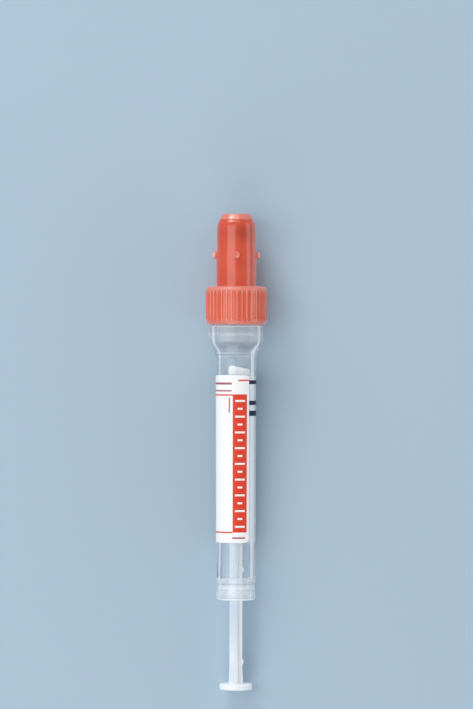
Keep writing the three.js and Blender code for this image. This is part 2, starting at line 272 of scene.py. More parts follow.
def makeTube():
    shape = tubeShape
    beadTop = shape["footRounding"] + shape["bead"]
    upperBead = shape["footHeight"] - shape["bead"]
    groove = shape["foot"] - shape["groove"]
    shoulderTop = shoulderBottom + shape["shoulderHeight"]
    collarTop = skirtBottom - shape["collarTop"]
    tube = turned("tubeBarrel", [
        (shape["recess"], 0, shape["recessMouth"]),
        (shape["foot"], 0, shape["footRounding"]),
        (shape["foot"], beadTop, shape["beadEdge"]),
        (groove, beadTop + shape["slope"], shape["beadEdge"]),
        (groove, upperBead - shape["slope"], shape["beadEdge"]),
        (shape["foot"], upperBead, shape["beadEdge"]),
        (shape["foot"], shape["footHeight"] - shape["slope"], shape["beadEdge"]),
        (shape["atFoot"], shape["footHeight"]),
        (shape["atShoulder"], shoulderBottom, shape["bend"]),
        (shape["collar"], shoulderTop, shape["bend"]),
        (shape["collar"], collarTop, shape["collarEdge"]),
        (neckRoot, collarTop, shape["neckFoot"]),
        (neckRoot, tubeTop, shape["rimEdge"]),
        (shape["neckInner"], tubeTop, shape["rimEdge"]),
        (shape["neckInner"], shoulderTop - shape["innerDrop"], shape["innerBend"]),
        (shape["bore"], shoulderBottom - shape["innerDrop"], shape["innerBend"]),
        (shape["bore"], shape["footHeight"], shape["boreEnd"]),
        (shape["throat"], shape["footHeight"] - shape["throatRamp"], shape["boreEnd"]),
        (shape["throat"], shape["recessDepth"], shape["recessEdge"]),
        (shape["recess"], shape["recessDepth"], shape["recessEdge"]),
    ], shape["steps"])
    join(tube, threadRidge("neckRidge", neckRoot, neckRoot + shape["threadProud"], neckThread))
    length = shape["neckWall"] / 2 + shape["lugProud"]
    lug = primitive(
        "lug", "cylinder", vertices=shape["lugSteps"], radius=shape["lugRadius"] * mm, depth=length * mm,
        rotation=(0, math.pi / 2, 0),
    )
    move(x=length / 2 - shape["collar"] - shape["lugProud"], z=collarTop - shape["lugDrop"])
    settle(lug)
    modify(lug, "BEVEL", width=shape["lugEdge"] * mm, segments=3, limit_method="ANGLE")
    join(tube, lug)
    return tube


capShape = {
    "boreGap": 0.15, "threadGap": 0.15, "plate": 0.9, "chamferWidth": 0.45, "chamferHeight": 0.6,
    "inset": 0.002, "topRounding": 0.9, "skirtEdge": 0.12, "chamferEdge": 0.2, "plateRoot": 0.2,
    "ribs": 36, "facesPerRib": 6, "crestFaces": 1, "bottomBand": 1.2, "topBand": 0.9,
    "fluteDepth": 0.16, "fluteSlope": 0.14, "fluteReach": 0.1, "ribRounding": 0.07, "ribAngle": 32,
    "noseBase": 4.22, "noseFoot": 4.28, "noseStep": 6.6, "noseWall": 4.14, "noseStepHeight": 1.7,
    "noseRoot": 0.25, "noseBend": 0.4, "shoulderDrop": 2.75, "shoulder": 3.99, "shoulderEdge": 1.9,
    "shoulderTop": 1.4, "shoulderIn": 0.25, "shoulderBend": 0.25, "shoulderRim": 0.06,
    "seam": 3.6, "seamWidth": 0.14, "seamEdge": 0.03, "ring": 3.7, "ringEdge": 0.04,
    "noseRim": 3.02, "rimSlope": 0.1, "rimHeight": 0.15, "rimBend": 0.15, "rimEdge": 0.12,
    "noseBore": 3.15, "boreFoot": 0.3, "mouth": 2, "mouthDepth": 2.2, "mouthEdge": 0.15, "innerEdge": 0.1,
    "retainer": 0.25, "retainerHeight": 0.35, "retainerGap": 0.1,
    "plugLength": 1.8, "plugWall": 0.8, "plugGap": 0.08, "plugEdge": 0.15,
    "studRadius": 0.7, "studReach": 4.96, "studLength": 1.2, "studHeight": 6.6, "studTurn": 0.5,
    "studRim": 0.2, "studHollow": 0.16, "studEdge": 0.12, "studSteps": 32,
}


def makeCap():
    shape = capShape
    skirt = halfWidthOf("screw_cap") - shape["inset"]
    bore = neckRoot + tubeShape["threadProud"] + shape["boreGap"]
    skirtTop = plateBottom + shape["plate"]
    noseStep = skirtTop + shape["noseStep"]
    shoulderTop = noseTop - shape["shoulderTop"]
    mouthBottom = noseTop - shape["mouthDepth"]
    retainerTop = membraneBottom - shape["retainerGap"]
    plug = tubeShape["neckInner"] - shape["plugGap"]
    lowest, highest = skirtBottom + shape["bottomBand"], skirtTop - shape["topBand"]
    faceCount = shape["ribs"] * shape["facesPerRib"]
    cap = turned("screwCap", [
        (bore, skirtBottom, shape["skirtEdge"]),
        (skirt - shape["chamferWidth"], skirtBottom, shape["skirtEdge"]),
        (skirt, skirtBottom + shape["chamferHeight"], shape["chamferEdge"]),
        (skirt, lowest),
        (skirt, skirtTop, shape["topRounding"]),
        (shape["noseBase"], skirtTop, shape["noseRoot"]),
        (shape["noseFoot"], noseStep, shape["noseBend"]),
        (shape["noseWall"], noseStep + shape["noseStepHeight"], shape["noseBend"]),
        (shape["noseWall"], noseTop - shape["shoulderDrop"], shape["noseBend"]),
        (shape["shoulder"], noseTop - shape["shoulderEdge"], shape["shoulderBend"]),
        (shape["shoulder"] - shape["shoulderIn"], shoulderTop, shape["shoulderRim"]),
        (shape["seam"], shoulderTop, shape["seamEdge"]),
        (shape["seam"], shoulderTop + shape["seamWidth"], shape["seamEdge"]),
        (shape["ring"], shoulderTop + shape["seamWidth"], shape["ringEdge"]),
        (shape["noseRim"] + shape["rimSlope"], noseTop - shape["rimHeight"], shape["rimBend"]),
        (shape["noseRim"] - shape["rimSlope"], noseTop, shape["rimEdge"]),
        (shape["mouth"], noseTop, shape["mouthEdge"]),
        (shape["mouth"], mouthBottom, shape["innerEdge"]),
        (shape["noseBore"], mouthBottom, shape["innerEdge"]),
        (shape["noseBore"], retainerTop),
        (shape["noseBore"] - shape["retainer"], retainerTop, shape["innerEdge"]),
        (shape["noseBore"], retainerTop - shape["retainerHeight"]),
        (shape["noseBore"], plateBottom, shape["boreFoot"]),
        (plug - shape["plugWall"], plateBottom),
        (plug - shape["plugWall"], plateBottom - shape["plugLength"], shape["plugEdge"]),
        (plug, plateBottom - shape["plugLength"], shape["plugEdge"]),
        (plug, plateBottom, shape["innerEdge"]),
        (bore, plateBottom, shape["plateRoot"]),
    ], faceCount)

    def inFlute(place, normal):
        turn = math.atan2(place.x, -place.y) / math.tau * faceCount
        outward = normal.to_2d().dot(place.to_2d()) > 0
        onSkirt = place.to_2d().length > skirt - shape["fluteReach"] and lowest < place.z < highest
        return outward and onSkirt and math.floor(turn) % shape["facesPerRib"] >= shape["crestFaces"]

    pick(inFlute, "FACE")
    bpy.ops.mesh.inset(thickness=shape["fluteSlope"] * mm, depth=-shape["fluteDepth"] * mm)
    modify(
        cap, "BEVEL", width=shape["ribRounding"] * mm, segments=2, limit_method="ANGLE",
        angle_limit=math.radians(shape["ribAngle"]),
    )
    capThread = neckThread - threadShape["rootWidth"] - shape["threadGap"]
    join(cap, threadRidge("skirtRidge", bore, neckRoot + shape["boreGap"], capThread))
    studs = primitive(
        "studs", "cylinder", vertices=shape["studSteps"], radius=shape["studRadius"] * mm,
        depth=shape["studLength"] * mm,
    )
    pick(lambda place, normal: normal.z > modelling["squarely"], "FACE")
    bpy.ops.mesh.inset(thickness=shape["studRim"] * mm)
    bpy.ops.mesh.inset(thickness=shape["studEdge"] * mm, depth=-shape["studHollow"] * mm)
    modify(studs, "BEVEL", width=shape["studEdge"] * mm, segments=3, limit_method="ANGLE")
    edit(studs)
    move(z=shape["studReach"] - shape["studLength"] / 2)
    for quarter in range(4):
        choose(studs)
        bpy.ops.object.duplicate()
        stud = bpy.context.object
        stud.rotation_euler = (math.pi / 2, 0, math.radians(quarter * 90 + shape["studTurn"]))
        stud.location.z = (skirtTop + shape["studHeight"]) * mm
        settle(stud)
        join(cap, stud)
    bpy.data.objects.remove(studs)
    return cap


membraneShape = {
    "radius": 3.09, "raised": 1.85, "raise": 1.3, "edge": 0.15, "raisedFoot": 0.1, "raisedEdge": 0.2,
    "steps": 96,
}


def makeMembrane():
    shape = membraneShape
    step = membraneTop - shape["raise"]
    return turned("membraneDisc", [
        (0, membraneBottom),
        (shape["radius"], membraneBottom, shape["edge"]),
        (shape["radius"], step, shape["edge"]),
        (shape["raised"], step, shape["raisedFoot"]),
        (shape["raised"], membraneTop, shape["raisedEdge"]),
        (0, membraneTop),
    ], shape["steps"], closed=False)


pistonShape = {
    "lip": 3.05, "lipHeight": 0.6, "slope": 0.2, "waist": 2.7, "edge": 0.1,
    "socket": 1.15, "socketDepth": 1.75, "mouth": 0.9, "mouthDepth": 0.6, "steps": 96,
}


def makePiston():
    shape = pistonShape
    edge = shape["edge"]
    return turned("pistonHead", [
        (0, pistonBottom + shape["socketDepth"]),
        (shape["socket"], pistonBottom + shape["socketDepth"], edge),
        (shape["socket"], pistonBottom + shape["mouthDepth"]),
        (shape["mouth"], pistonBottom + shape["mouthDepth"]),
        (shape["mouth"], pistonBottom, edge),
        (shape["lip"], pistonBottom, edge),
        (shape["lip"], pistonBottom + shape["lipHeight"], edge),
        (shape["waist"], pistonBottom + shape["lipHeight"] + shape["slope"], edge),
        (shape["waist"], pistonTop - shape["lipHeight"] - shape["slope"], edge),
        (shape["lip"], pistonTop - shape["lipHeight"], edge),
        (shape["lip"], pistonTop, edge),
        (0, pistonTop),
    ], shape["steps"], closed=False)


rodShape = {
    "width": 2.7, "core": 0.9, "rootWidth": 3, "flare": 3.9, "restGap": 0.1, "edge": 0.1,
    "discThickness": 1.3, "discRounding": 0.4, "sink": 0.5, "discSteps": 120,
    "notchDrop": 5.08, "notchWidth": 0.6, "notchNeck": 1.5,
    "nubs": [5.85, 25.4], "nubReach": 0.28, "nubLength": 1.3, "nubTop": 0.52,
    "stem": 0.8, "barb": 1.05, "barbStart": 0.7, "barbEnd": 1.65, "barbEdge": 0.05, "barbSteps": 48,
}


def makeRod():  # four blades drawn out of a core, with a disc at one end and a barb at the other
    shape = rodShape
    discTop = discBottom + shape["discThickness"]
    low, high = discTop - shape["sink"], pistonBottom - shape["restGap"]
    half, core = shape["width"] / 2, shape["core"] / 2
    notch = pistonBottom - shape["notchDrop"]
    rod = primitive("pistonRod", "cube", size=mm)
    bpy.ops.transform.resize(value=(shape["core"], shape["core"], high - low))
    move(z=(low + high) / 2)
    nubs = [discBottom + height for height in shape["nubs"]]
    nubEnds = [nub + end * shape["nubLength"] / 2 for nub in nubs for end in (-1, 1)]
    nubTops = [nub + end * shape["nubTop"] / 2 for nub in nubs for end in (-1, 1)]
    notchCuts = [notch + end * shape["notchWidth"] / 2 for end in (-1, 0, 1)]
    for height in [discTop, discTop + shape["flare"], *nubEnds, *nubTops, *notchCuts]:
        cut((0, 0, height), (0, 0, 1))

    def onCore(place, normal):
        return normal.dot(side) > modelling["squarely"] and isNear(place.to_2d().length, core)

    for side in (Vector((1, 0, 0)), Vector((-1, 0, 0)), Vector((0, 1, 0)), Vector((0, -1, 0))):
        pick(onCore, "FACE")
        extrude(*(side * (half - core)))

    def onEdge(place):
        return isNear(abs(getattr(place, across)), half)

    for across in ("x", "y"):
        pick(lambda place, _: onEdge(place) and (place.z < discTop or isNear(place.z, discTop)))
        scaleFromAxis(**{across: shape["rootWidth"] / shape["width"]})
        pick(lambda place, _: onEdge(place) and isNear(place.z, notch))
        scaleFromAxis(**{across: shape["notchNeck"] / shape["width"]})
    pick(lambda place, _: isNear(place.x, half) and any(isNear(place.z, top) for top in nubTops))
    move(x=shape["nubReach"])
    modify(rod, "BEVEL", width=shape["edge"] * mm, segments=3, limit_method="ANGLE")
    radius = halfWidthOf("piston_rod")
    join(rod, turned("thumbDisc", [
        (0, discBottom),
        (radius, discBottom, shape["discRounding"]),
        (radius, discTop, shape["discRounding"]),
        (0, discTop),
    ], shape["discSteps"], closed=False))
    barbStart, barbEnd = pistonBottom + shape["barbStart"], pistonBottom + shape["barbEnd"]
    join(rod, turned("snapBarb", [
        (0, high - shape["notchWidth"]),
        (shape["stem"], high - shape["notchWidth"]),
        (shape["stem"], barbStart),
        (shape["barb"], barbStart, shape["barbEdge"]),
        (shape["barb"], (barbStart + barbEnd) / 2, shape["edge"]),
        (shape["stem"], barbEnd, shape["edge"]),
        (0, barbEnd),
    ], shape["barbSteps"], closed=False))
    return rod


additiveShape = {
    "left": 1.75, "wallGap": 0.09, "drop": 1, "corner": 0.7, "steps": 64,
    "voxel": 0.1, "smoothing": 120, "regrow": 0.14,  # regrow makes up for what smoothing takes off the top
    "lumpSize": 1.3, "unevenness": 0.09, "lumpMiddle": 0.9, "lastSmoothing": 3,
}


def makeAdditive():
    shape = additiveShape
    radius = tubeShape["bore"] - shape["wallGap"]
    top = additiveTop + shape["regrow"]
    height = top - additiveBottom
    lump = primitive(
        "additivePlug", "cylinder", vertices=shape["steps"], radius=radius * mm, depth=height * mm,
    )
    move(z=additiveBottom + height / 2)
    fill = {"clear_outer": True, "use_fill": True}
    cut((-shape["left"], 0, 0), (-1, 0, 0), **fill)
    cut((-shape["left"], 0, top), Vector((shape["drop"], 0, radius + shape["left"])).normalized(), **fill)
    cut((shape["corner"] - shape["left"], 0, top), (-1, 0, 1), **fill)
    modify(lump, "REMESH", mode="VOXEL", voxel_size=shape["voxel"] * mm)
    modify(lump, "SMOOTH", iterations=shape["smoothing"])
    lumps = bpy.data.textures.new("lumps", "CLOUDS")
    lumps.noise_scale = shape["lumpSize"] * mm
    modify(lump, "DISPLACE", texture=lumps, strength=shape["unevenness"] * mm, mid_level=shape["lumpMiddle"])
    modify(lump, "SMOOTH", iterations=shape["lastSmoothing"])
    return lump


labelShape = {
    "thickness": 0.08, "gap": 0.02, "left": -250, "right": 38.9, "corner": 0.9, "cornerSteps": 6,
    "columns": 96,
}
markShape = {"thickness": 0.015, "gap": 0.004, "left": 39.2, "right": 110, "columns": 24}
markHeights = [(45.6, 46.4), (41.2, 42.1), (38.9, 40)]


def rolledSheet(name, bottom, top, shape):  # cut flat, then rolled round the barrel
    inside = barrelRadius(bottom) + shape["gap"]
    angle = math.radians(shape["right"] - shape["left"])
    width = inside * angle
    sheet = primitive(name, "plane", size=mm, rotation=(math.pi / 2, 0, 0))
    bpy.ops.transform.resize(value=(width, 1, top - bottom))
    move(z=(top - bottom) / 2)
    settle(sheet)
    edit(sheet)
    if "corner" in shape:
        bpy.ops.mesh.bevel(affect="VERTICES", offset=shape["corner"] * mm, segments=shape["cornerSteps"])
    for column in range(1, shape["columns"]):
        cut(((column / shape["columns"] - 0.5) * width, 0, 0), (1, 0, 0))
    modify(sheet, "SOLIDIFY", thickness=shape["thickness"] * mm, offset=1)
    modify(sheet, "SIMPLE_DEFORM", deform_method="BEND", deform_axis="Z", angle=angle)
    edit(sheet)
    move(y=-inside)
    taper = (barrelRadius(top) + shape["gap"]) / inside - 1
    modify(sheet, "SIMPLE_DEFORM", deform_method="TAPER", deform_axis="Z", factor=taper)
    edit(sheet)
    move(z=bottom)
    deselectAll()
    sheet.rotation_euler.z = math.radians(shape["left"] + shape["right"]) / 2
    settle(sheet)
    return sheet


# Shader maths. A wire is a socket that can be added, multiplied and so on.
class Wire:
    def __init__(self, tree, socket=None):
        self.tree = tree
        self.socket = socket

    def node(self, kind, settings=None, sockets=None, output=0):
        made = self.tree.nodes.new(kind)
        for name, value in (settings or {}).items():
            setattr(made, name, value)
        for name, value in (sockets or {}).items():
            if isinstance(value, Wire):
                self.tree.links.new(value.socket, made.inputs[name])
            else:
                made.inputs[name].default_value = value
        return Wire(self.tree, made.outputs[output]) if made.outputs else None

    def maths(self, operation, first, second=0.0):
        return self.node("ShaderNodeMath", {"operation": operation}, {0: first, 1: second})

    def __add__(self, other):
        return self.maths("ADD", self, other)

    __radd__ = __add__

    def __sub__(self, other):
        return self.maths("SUBTRACT", self, other)

    def __rsub__(self, other):
        return self.maths("SUBTRACT", other, self)

    def __mul__(self, other):
        return self.maths("MULTIPLY", self, other)

    __rmul__ = __mul__

    def __truediv__(self, other):
        return self.maths("DIVIDE", self, other)

    def __mod__(self, other):
        return self.maths("FLOORED_MODULO", self, other)

    def __or__(self, other):
        return self.maths("MAXIMUM", self, other)

    def rise(self, low, high, start=0):  # 0 up to low and 1 from high, with a soft step between
        sockets = {"Value": self, "From Min": start + low, "From Max": start + high}
        return self.node("ShaderNodeMapRange", {"interpolation_type": "SMOOTHSTEP"}, sockets)

    def fall(self, low, high, start=0):
        return 1 - self.rise(low, high, start)

    def within(self, low, high, soft):
        return self.rise(low - soft, low + soft) * self.fall(high - soft, high + soft)

    def band(self, limits, start=0):  # the limits are low, high, softness and strength
        low, high, soft, strength = limits
        return self.within(start + low, start + high, soft) * strength

    def atLeast(self, least):
        return self * (1 - least) + least

    def blend(self, under, over):  # a colour: under where this is 0, over where it is 1
        return self.node("ShaderNodeMix", {"data_type": "RGBA"}, {0: self, 6: under, 7: over}, 2)

    def noise(self, size, detail):
        return self.node("ShaderNodeTexNoise", None, {"Vector": self, "Scale": 1 / size, "Detail": detail})

    def bump(self, strength):  # of a height in millimetres
        return self.node("ShaderNodeBump", None, {"Height": self, "Strength": strength, "Distance": mm})

    def plastic(self, **sockets):
        named = {name.replace("_", " "): value for name, value in sockets.items()}
        return self.node("ShaderNodeBsdfPrincipled", None, named)


def colour(red, green, blue):  # as a screen shows it, 0 to 255
    shares = [value / 255 for value in (red, green, blue)]
    return (*[share / 12.92 if share < 0.04 else ((share + 0.055) / 1.055) ** 2.4 for share in shares], 1)


def material(name, recipe):  # the recipe gets the place on the upright piece, in millimetres
    made = bpy.data.materials.new(name)
    made.use_nodes = True
    made.node_tree.nodes.clear()
    start = Wire(made.node_tree)
    upright = Matrix.Rotation(math.pi / 2 - tilt, 3, "X")
    sockets = {
        "Vector": start.node("ShaderNodeTexCoord", output="Object"),
        "Location": -(upright @ foot) / mm,
        "Rotation": upright.to_euler(),
        "Scale": (1 / mm, 1 / mm, 1 / mm),
    }
    place = start.node("ShaderNodeMapping", None, sockets)
    start.node("ShaderNodeOutputMaterial", None, {"Surface": recipe(place)})
    return made


def parts(place):  # to the right, to the back and up
    split = place.node("ShaderNodeSeparateXYZ", None, {0: place}).socket.node
    return [Wire(place.tree, output) for output in split.outputs]


def polar(place):  # degrees from the front to the right, the distance from the axis, and the height along it
    across, depth, height = parts(place)
    radius = place.maths("SQRT", across * across + depth * depth)
    return place.maths("ARCTAN2", across, 0 - depth) * math.degrees(1), radius, height


def lampsPass(place, body, tint):  # lamps, and light that the pieces inside scatter, go straight through
    byLamp, byScatter = [
        place.node("ShaderNodeLightPath", output="Is " + ray + " Ray") for ray in ("Shadow", "Diffuse")
    ]
    through = place.node("ShaderNodeBsdfTransparent", None, {"Color": tint})
    return place.node("ShaderNodeMixShader", None, {0: byLamp | byScatter, 1: body, 2: through})


# In the looks, four numbers are a band: where it begins and ends, how soft its edges are, and its strength.
# Two are where a soft step begins and ends, or the size and the detail of a noise.
clearLook = {
    # The dark colour paints shade lines into the tint.
    "tint": colour(250, 252, 253), "dark": colour(112, 126, 168),
    # The whiter milk paints a highlight along the foot's lower edge.
    "milk": colour(236, 241, 247), "rimHighlightColour": colour(254, 255, 255),
    "roughness": 0.03, "wornRoughness": 0.05, "milkRoughness": 0.3,
    "ior": 1.16, "skinIor": 1.5, "skin": 0.5, "skinRoughness": 0.1,
    "ripple": (9, 2), "rippleDepth": 0.02, "rippleBump": 0.02, "wear": (1.5, 4), "worn": (0.45, 0.75),
    # Round the tube in degrees, and out from its axis
    "left": (-60, -30), "right": (30, 120, 20, 1), "rightLoss": 0.7, "outside": (3.6, 3.8),
    # Up from the foot's rim, and the last from the foot's top. A painted highlight at the rim, a painted shade
    # line near it, a painted highlight band, a painted shade line at the groove, and where the foot ends.
    "rim": (0.26, 0.36), "rimShadeLine": (0.44, 0.6, 0.06, 0.3), "footHighlightBand": (2.3, 2.9, 0.2, 0.25),
    "seam": (3.33, 3.47, 0.05, 0.6), "footTop": (-0.2, 0.1),
    # Up from the barrel's upper end, and the last from the cap's skirt. Painted highlights at the two bends, a
    # painted shade band in the neck, a painted light band, and a painted highlight line under the skirt.
    "lowerBendHighlight": (-0.45, -0.2, 0.15, 0.245), "upperBendHighlight": (0.35, 0.55, 0.1, 0.35),
    "neckShade": (1.4, 2.9, 0.4, 0.26), "collarLightBand": (4.1, 4.7, 0.2, 0.1), "lip": (-0.48, -0.38, 0.06, 0.8),
    # How milky the plastic is: evenly, by wear, in the foot and in the collar. At the rim, on the lug and in the
    # window beside the label it is painted light.
    "haze": 0.04, "wornHaze": 0.02, "rimHighlight": 1, "footHaze": 0.27, "collarHaze": 0.06,
    "lugSide": (0.02, 0.08), "lugHighlight": 0.6,
    "windowLightStrength": 0.46, "windowSides": 2, "windowEnds": 0.5, "windowTop": 1,
    # From 0 where the surface faces the eye to 1 where it turns away
    "wallFrom": 0.38, "wallTo": 0.5, "wallSoft": 0.03, "leftShift": 0.03, "collarShift": 0.06,
    "rightWider": 0.06, "leftWider": 0.04, "footEdge": (0.62, 0.85),
    # Painted shade lines beside the left wall stripe, then the strengths of the painted highlights on the walls
    # and on the foot's right edge.
    "innerShadeLine": (0.28, 0.37, 0.02, 0.95), "outerShadeLine": (0.59, 0.82, 0.03, 0.95), "shadeLineAbove": 0.3,
    "wallHighlightStrength": 0.48, "rightHighlightStrength": 0.47, "wallInFoot": 0.4, "footEdgeHighlight": 0.4,
}


def clearPlastic(place):
    look = clearLook
    angle, radius, height = polar(place)
    ripple = (place.noise(*look["ripple"]) * look["rippleDepth"]).bump(look["rippleBump"])
    wear = place.noise(*look["wear"]).rise(*look["worn"])

    collar = height.rise(0, tubeShape["shoulderHeight"], shoulderBottom)
    aboveFoot = height.rise(*look["footTop"], tubeShape["footHeight"])
    belowLabel = height.fall(tubeShape["footHeight"], labelBottom + look["windowTop"])
    rim = height.fall(*look["rim"])
    outside = radius.rise(*look["outside"])
    right = angle.band(look["right"]) * (1 - collar * look["rightLoss"])
    left = angle.fall(*look["left"])
    lowLeft = left * belowLabel

    # Painted highlight: the walls seen edge-on get bright milky stripes, stronger on the right. Painted shade: the
    # left one gets a dark line on either side.
    facing = place.node("ShaderNodeLayerWeight", None, {"Blend": 0.5}, "Facing")
    facing = facing + right * look["rightWider"] - collar * look["collarShift"] - lowLeft * look["leftShift"]
    wallTo = right * 2 * look["rightWider"] + lowLeft * look["leftWider"] + look["wallTo"]
    wallHighlight = facing.within(look["wallFrom"], wallTo, look["wallSoft"])
    wallHighlight = wallHighlight * (right * look["rightHighlightStrength"] + look["wallHighlightStrength"]) * aboveFoot.atLeast(look["wallInFoot"])
    groove = facing.band(look["innerShadeLine"]) | facing.band(look["outerShadeLine"])
    groove = groove * left * outside * aboveFoot * belowLabel.atLeast(look["shadeLineAbove"])

    # Painted shade in the tint: the lines at the foot, a band in the neck, and the lines beside the left wall
    # stripe.
    seam = height.band(look["seam"]) | height.band(look["rimShadeLine"])
    neckShade = height.band(look["neckShade"], shoulderBottom)
    shell = place.plastic(
        Base_Color=(seam | neckShade | groove).blend(look["tint"], look["dark"]),
        Roughness=wear * look["wornRoughness"] + look["roughness"], IOR=look["ior"],
        Transmission_Weight=1.0, Coat_Weight=look["skin"], Coat_IOR=look["skinIor"],
        Coat_Roughness=look["skinRoughness"], Normal=ripple,
    )
    milk = place.plastic(
        Base_Color=rim.blend(look["milk"], look["rimHighlightColour"]), Roughness=look["milkRoughness"],
        IOR=look["skinIor"], Normal=ripple,
    )

    # The foot is milky, with a painted highlight band in its groove and a painted highlight on its right edge.
    inFoot = (height.band(look["footHighlightBand"]) + look["footHaze"]) * (1 - seam)
    inFoot = inFoot + right * facing.rise(*look["footEdge"]) * look["footEdgeHighlight"]
    # Painted light: the window beside the label is made brighter.
    windowLight = angle.within(labelShape["right"], markShape["right"], look["windowSides"])
    windowLight = windowLight * height.within(labelBottom, labelTop, look["windowEnds"]) * look["windowLightStrength"]
    # Painted highlights: a light band in the collar, lines at the shoulder's bends and under the skirt, and the
    # lug.
    collarLightBand = height.band(look["collarLightBand"], shoulderBottom)
    bend = height.band(look["upperBendHighlight"], shoulderBottom) | height.band(look["lowerBendHighlight"], shoulderBottom)
    lip = height.band(look["lip"], skirtBottom)
    lug = radius.rise(*look["lugSide"], tubeShape["collar"]) * look["lugHighlight"]
    # Real haze plus the painted highlights: at the rim, in the foot, in the window, in the collar and along the
    # walls.
    haze = wear * look["wornHaze"] + look["haze"] + rim * look["rimHighlight"] + collar * look["collarHaze"]
    haze = haze + inFoot * (1 - aboveFoot) + windowLight + collarLightBand + (bend + lip + lug + wallHighlight) * outside
    body = place.node("ShaderNodeMixShader", None, {0: haze, 1: shell, 2: milk})
    return lampsPass(place, body, look["tint"])


capLook = {
    "body": colour(214, 74, 36), "pale": colour(230, 106, 74), "membraneShade": colour(176, 46, 14),
    # The pale colour of the painted highlights, and of the skirt's paler lower end.
    "worn": colour(244, 172, 158),
    "roughness": 0.15, "grainRoughness": 0.08, "specular": 0.7, "sheen": 0.4, "sheenRoughness": 0.3,
    "scatter": 0.25, "scatterReach": (1, 0.35, 0.2), "scatterDepth": 1.2,
    "clouds": (4, 3), "cloudSteps": (0.35, 0.7), "cloudPaleness": 0.25,
    "grain": (0.25, 3), "grainDepth": 0.01, "grainBump": 0.5,
    # Darker where the grey membrane shows through the cap, and painted shade makes it strongest at the front, a
    # little to the right.
    "coreFrom": -0.2, "coreTo": -1.7, "coreSoft": 1.5, "coreFront": (2, 36, 22, 0.5), "coreRound": 0.33,
    "hem": (0.4, 1.1), "hemPaleness": 0.35,  # up from the skirt's lower end
    # Up from the plate. The ledge, the rib tips and the side studs' ends get painted highlights.
    "skirtTop": (-0.5, 1.5), "skirtPaleness": 0.45, "ledgeHighlight": (-0.2, 1.2, 0.4, 0.4), "ribTop": (-0.05, 0.1),
    "tipFoot": (-1, -0.5), "tipHighlight": 0.9, "studFoot": (3, 3.5), "studHighlight": 0.95,
    # Painted light: the thin cone at the nose's top is lighter.
    "cone": (-1.4, -1), "coneLight": 0.4,  # up from the nose's top
    # Round the cap in degrees, a rib's from its own start. The front stud gets less of the studs' painted
    # highlight, and a band on the nose's right side is a painted highlight.
    "ribLine": (0.1, 1.6, 0.4, 1), "frontStud": (-40, 40, 10, 0.65), "flankHighlight": (52, 96, 10, 0.3),
    # Out from the axis
    # The rib crests and tips get painted highlights.
    "crestSide": (6.25, 6.35), "crestHighlight": 0.5, "tipSide": (5.9, 6.1), "ledgeSide": (5.1, 5.8),
    "studSide": (4.3, 4.75), "flankSide": (4.3, 4.5),
}


def capPlastic(place):
    look = capLook
    angle, radius, height = polar(place)
    clouds = place.noise(*look["clouds"]).rise(*look["cloudSteps"]) * look["cloudPaleness"]
    # Painted shade where the membrane shows through, strongest at the front.
    core = height.within(membraneBottom + look["coreFrom"], membraneTop + look["coreTo"], look["coreSoft"])
    core = core * (angle.band(look["coreFront"]) + look["coreRound"])
    skirt = height.fall(*look["skirtTop"], plateBottom) * look["skirtPaleness"]
    rib = (angle % (360 / capShape["ribs"])).band(look["ribLine"])
    rib = rib * height.fall(*look["ribTop"], plateBottom)
    # Painted highlights on the rib crests and tips, the skirt's top ledge, the side studs' ends, the nose's right
    # flank and the cone. The skirt's lower end is paler.
    crest = rib * radius.rise(*look["crestSide"]) * look["crestHighlight"]
    ribTipHighlight = rib * height.rise(*look["tipFoot"], plateBottom) * radius.rise(*look["tipSide"]) * look["tipHighlight"]
    hem = height.fall(*look["hem"], skirtBottom) * look["hemPaleness"]
    ledgeHighlight = height.band(look["ledgeHighlight"], plateBottom) * radius.rise(*look["ledgeSide"])
    stud = radius.rise(*look["studSide"]) * height.rise(*look["studFoot"], plateBottom)
    stud = stud * (look["studHighlight"] - angle.band(look["frontStud"]))
    flankHighlight = angle.band(look["flankHighlight"]) * radius.fall(*look["flankSide"])
    cone = height.rise(*look["cone"], noseTop) * look["coneLight"]
    base = clouds.blend(look["body"], look["pale"])
    base = skirt.blend(core.blend(base, look["membraneShade"]), look["pale"])
    base = (crest | ribTipHighlight | hem | ledgeHighlight | stud | flankHighlight | cone).blend(base, look["worn"])
    grain = place.noise(*look["grain"])
    return place.plastic(
        Base_Color=base, Roughness=grain * look["grainRoughness"] + look["roughness"],
        Specular_IOR_Level=look["specular"], Subsurface_Weight=look["scatter"],
        Subsurface_Radius=look["scatterReach"], Subsurface_Scale=look["scatterDepth"] * mm,
        Sheen_Weight=look["sheen"], Sheen_Roughness=look["sheenRoughness"],
        Normal=(grain * look["grainDepth"]).bump(look["grainBump"]),
    )


milkyLook = {
    # The second colour is for paler clouds and painted light, the third for painted shade.
    "body": colour(226, 233, 239), "paleAndLit": colour(244, 247, 250), "shaded": colour(196, 210, 222),
    "roughness": 0.34, "cloudRoughness": 0.1, "ior": 1.49,
    "scatter": 0.5, "scatterReach": (1, 1, 1), "scatterDepth": 1,
    "clouds": (3, 3), "cloudSteps": (0.3, 0.7), "cloudPaleness": 0.4,
    "grain": (0.3, 3), "grainDepth": 0.01, "grainBump": 0.5,
    # Painted light on the disc and on the rod's right side, where the front blade shades it, and painted shade on
    # its left and middle.
    "discTop": (1.2, 1.5), "discLight": 0.8,
    "shadedSide": (0.3, 0.6), "shadedLength": (-9, 12, 7, 0.65), "paintedLightSide": (0.4, 0.6),
}


